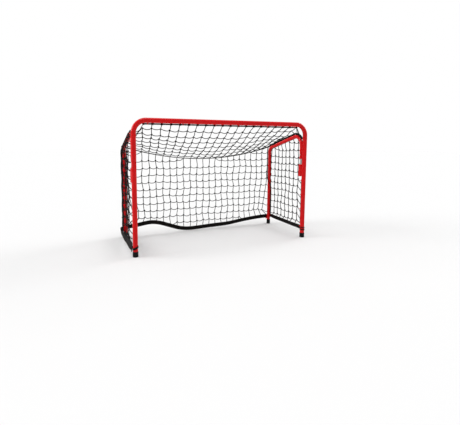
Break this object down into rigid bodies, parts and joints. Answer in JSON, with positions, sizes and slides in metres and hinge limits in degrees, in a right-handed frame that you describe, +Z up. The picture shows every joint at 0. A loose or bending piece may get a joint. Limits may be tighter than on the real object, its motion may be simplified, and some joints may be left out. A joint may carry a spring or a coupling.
{
  "type": "folding hockey goal",
  "caption": "Low steel-tube hockey goal with a knotted net; two side frames turn inwards on upright hinge pins so that it folds flat behind its mouth.",
  "frame": {"origin": "on the floor, under the middle of the goal's bounding box", "axes": "+X along the crossbar to the right as seen from the mouth, +Y from the mouth to the back of the net, +Z up"},
  "size_m": [0.909, 0.3486, 0.6],
  "materials": {
    "powder_coated_steel": "glossy red powder coat",
    "bare_steel": "zinc-plated",
    "grey_plastic": "moulded nylon",
    "foot_rubber": "moulded, slightly matt",
    "net_cord": "twisted polyethylene cord",
    "webbing": "woven polypropylene webbing"
  },
  "bodies": {
    "front_frame": {"front_frame": "powder_coated_steel", "hinge_socket_left": "powder_coated_steel", "hinge_socket_right": "powder_coated_steel", "socket_weld_left": "powder_coated_steel", "socket_weld_right": "powder_coated_steel", "crossbar_eyelets": "powder_coated_steel", "post_eyelets_left": "powder_coated_steel", "post_eyelets_right": "powder_coated_steel", "hem_peg_front_left": "powder_coated_steel", "hem_peg_front_right": "powder_coated_steel", "socket_bush_left": "grey_plastic", "socket_bush_right": "grey_plastic", "hinge_spacer_left": "grey_plastic", "hinge_spacer_right": "grey_plastic", "foot_front_left": "foot_rubber", "foot_front_right": "foot_rubber", "net_top": "net_cord", "net_back": "net_cord", "crossbar_rope": "net_cord", "crossbar_ties": "net_cord", "ridge_rope": "net_cord", "post_rope_left": "net_cord", "post_rope_right": "net_cord", "corner_rope_left": "net_cord", "corner_rope_right": "net_cord", "hem_back": "webbing", "hem_loop_left": "webbing", "hem_loop_right": "webbing"},
    "left_side_frame": {"side_frame_left": "powder_coated_steel", "hinge_pin_left": "bare_steel", "stub_plug_left": "bare_steel", "pin_rivet_left": "bare_steel", "foot_rear_left": "foot_rubber", "hem_peg_rear_left": "powder_coated_steel", "bar_rope_left": "net_cord", "net_left": "net_cord", "hem_side_left": "webbing"},
    "right_side_frame": {"side_frame_right": "powder_coated_steel", "hinge_pin_right": "bare_steel", "stub_plug_right": "bare_steel", "pin_rivet_right": "bare_steel", "foot_rear_right": "foot_rubber", "hem_peg_rear_right": "powder_coated_steel", "bar_rope_right": "net_cord", "net_right": "net_cord", "hem_side_right": "webbing"}
  },
  "joints": [
    {"name": "left_fold", "type": "hinge", "parent": "front_frame", "child": "left_side_frame", "pos_m": [-0.439, -0.13772, 0.4], "axis": [0, 0, -1], "range_deg": [0, 90], "deforming": ["net_top"]},
    {"name": "right_fold", "type": "hinge", "parent": "front_frame", "child": "right_side_frame", "pos_m": [0.439, -0.13772, 0.4], "axis": [0, 0, 1], "range_deg": [0, 90], "deforming": ["net_top"]}
  ]
}
